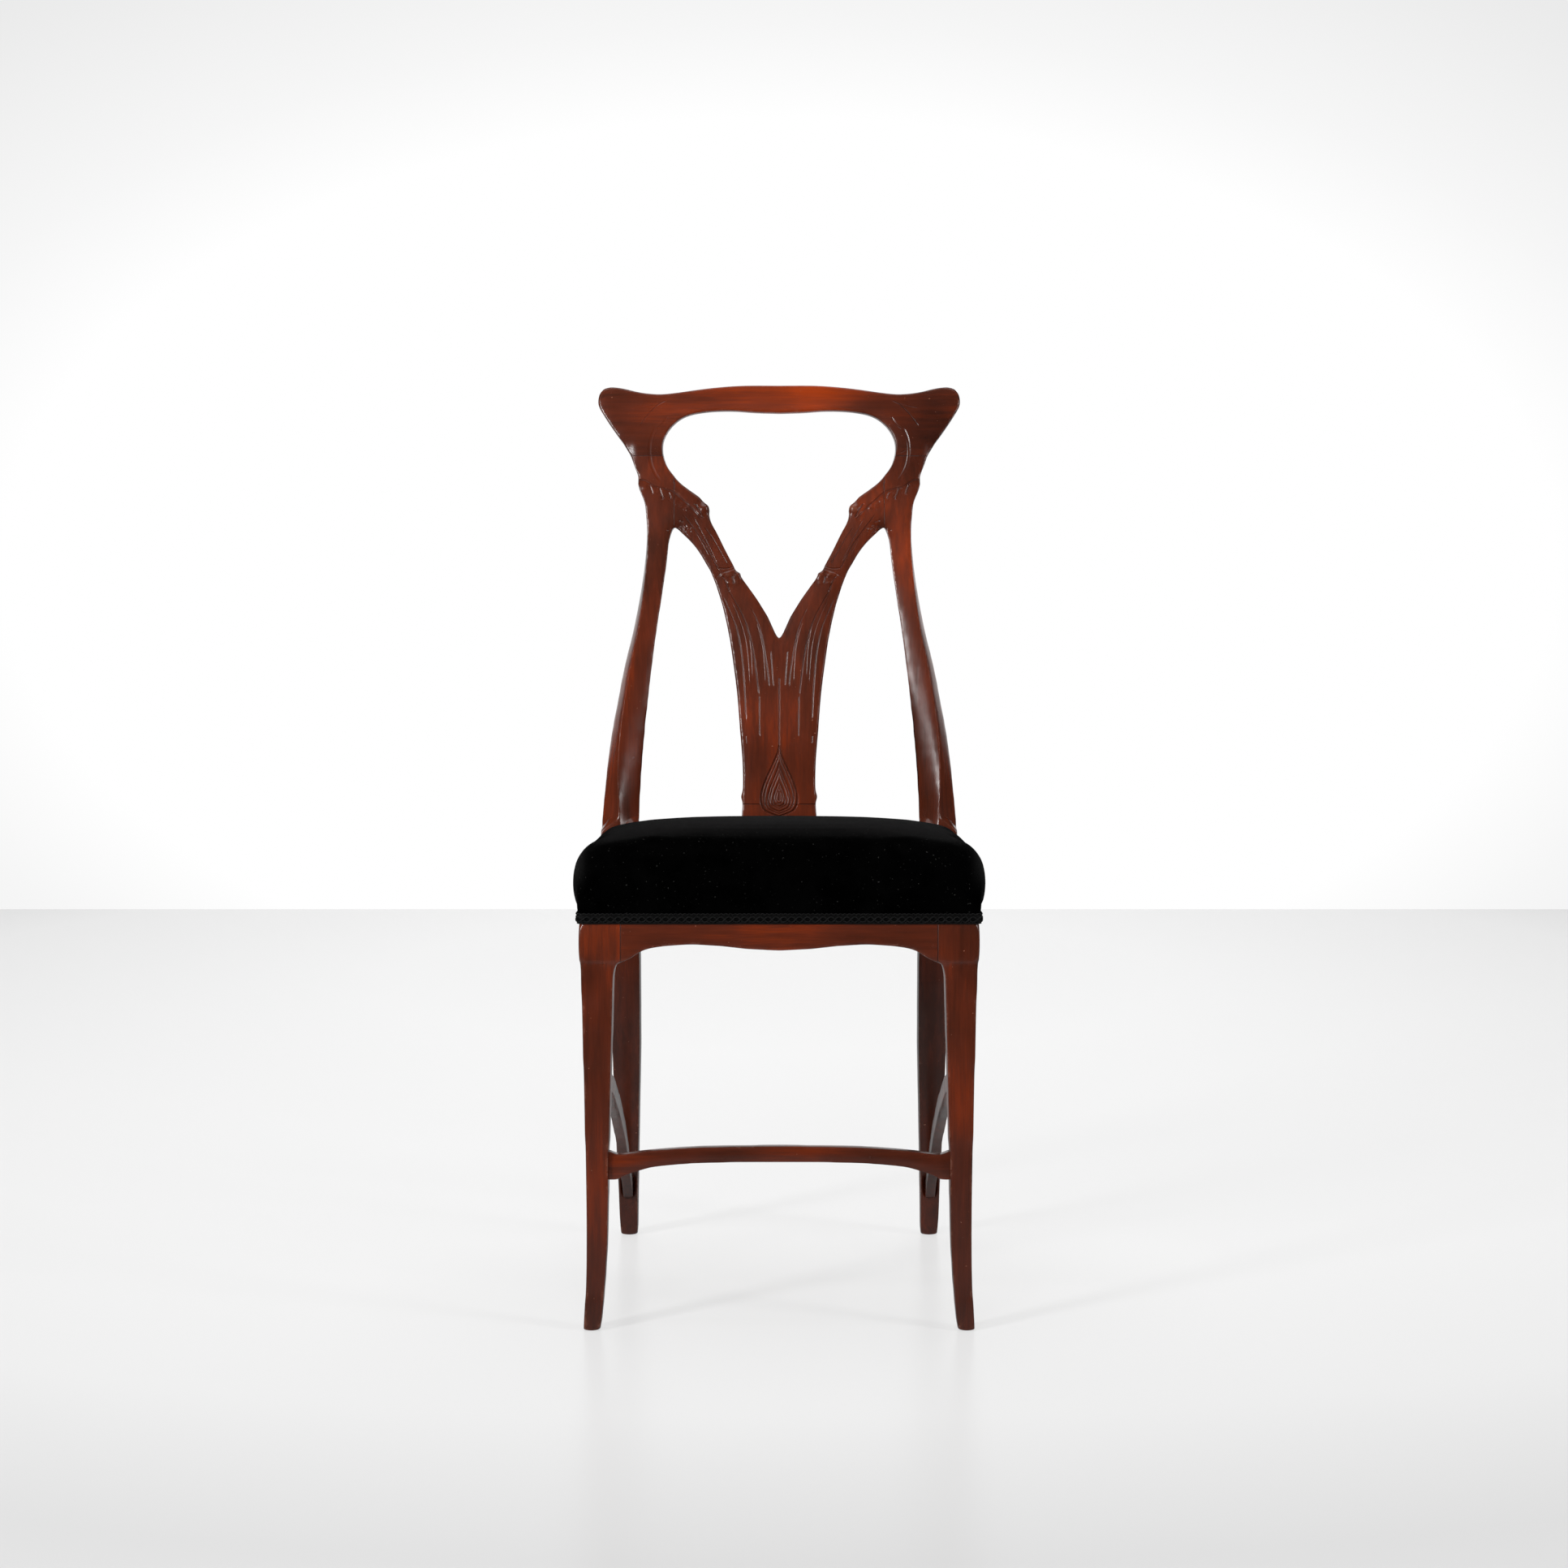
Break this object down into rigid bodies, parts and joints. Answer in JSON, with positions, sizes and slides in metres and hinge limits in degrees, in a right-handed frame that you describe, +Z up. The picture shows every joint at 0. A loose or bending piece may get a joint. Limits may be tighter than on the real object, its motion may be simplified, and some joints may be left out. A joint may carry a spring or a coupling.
{
  "type": "dining side chair",
  "caption": "Lyre back dining chair: open carved Y-shaped splat between shaped posts, eared crest rail, stuffed-over velvet seat and arched stretchers.",
  "frame": {"origin": "on the floor, under the middle of the chair's overall box", "axes": "+X to the right as seen from the front, +Y from the front of the seat to the back, +Z up"},
  "size_m": [0.4172, 0.4584, 0.9768],
  "materials": {
    "polished_mahogany": "French polished",
    "beech": "raw",
    "screw_steel": "dull",
    "jute_webbing": "woven",
    "hessian": "woven",
    "horsehair": "curled hair stuffing",
    "black_velvet": "short pile",
    "black_braid": "corded"
  },
  "bodies": {
    "root": {"front_rail": "polished_mahogany", "back_rail": "polished_mahogany", "crest_rail": "polished_mahogany", "lyre_splat": "polished_mahogany", "splat_shoe": "polished_mahogany", "front_stretcher": "polished_mahogany", "front_leg_left": "polished_mahogany", "front_leg_right": "polished_mahogany", "back_post_left": "polished_mahogany", "back_post_right": "polished_mahogany", "side_rail_left": "polished_mahogany", "side_rail_right": "polished_mahogany", "side_stretcher_left": "polished_mahogany", "side_stretcher_right": "polished_mahogany", "corner_block_front_left": "beech", "corner_block_front_right": "beech", "corner_block_back_left": "beech", "corner_block_back_right": "beech", "crest_dowel_outer_left": "beech", "crest_dowel_outer_right": "beech", "crest_dowel_inner_left": "beech", "crest_dowel_inner_right": "beech", "arm_dowel_left": "beech", "arm_dowel_right": "beech", "block_screw_front_a_left": "screw_steel", "block_screw_front_a_right": "screw_steel", "block_screw_front_b_left": "screw_steel", "block_screw_front_b_right": "screw_steel", "block_screw_back_a_left": "screw_steel", "block_screw_back_a_right": "screw_steel", "block_screw_back_b_left": "screw_steel", "block_screw_back_b_right": "screw_steel", "webbing_long_left": "jute_webbing", "webbing_long_middle": "jute_webbing", "webbing_long_right": "jute_webbing", "webbing_cross_front": "jute_webbing", "webbing_cross_middle": "jute_webbing", "webbing_cross_back": "jute_webbing", "seat_hessian": "hessian", "seat_pad": "horsehair", "seat_cover": "black_velvet", "gimp_braid": "black_braid", "gimp_back": "black_braid"}
  },
  "joints": []
}
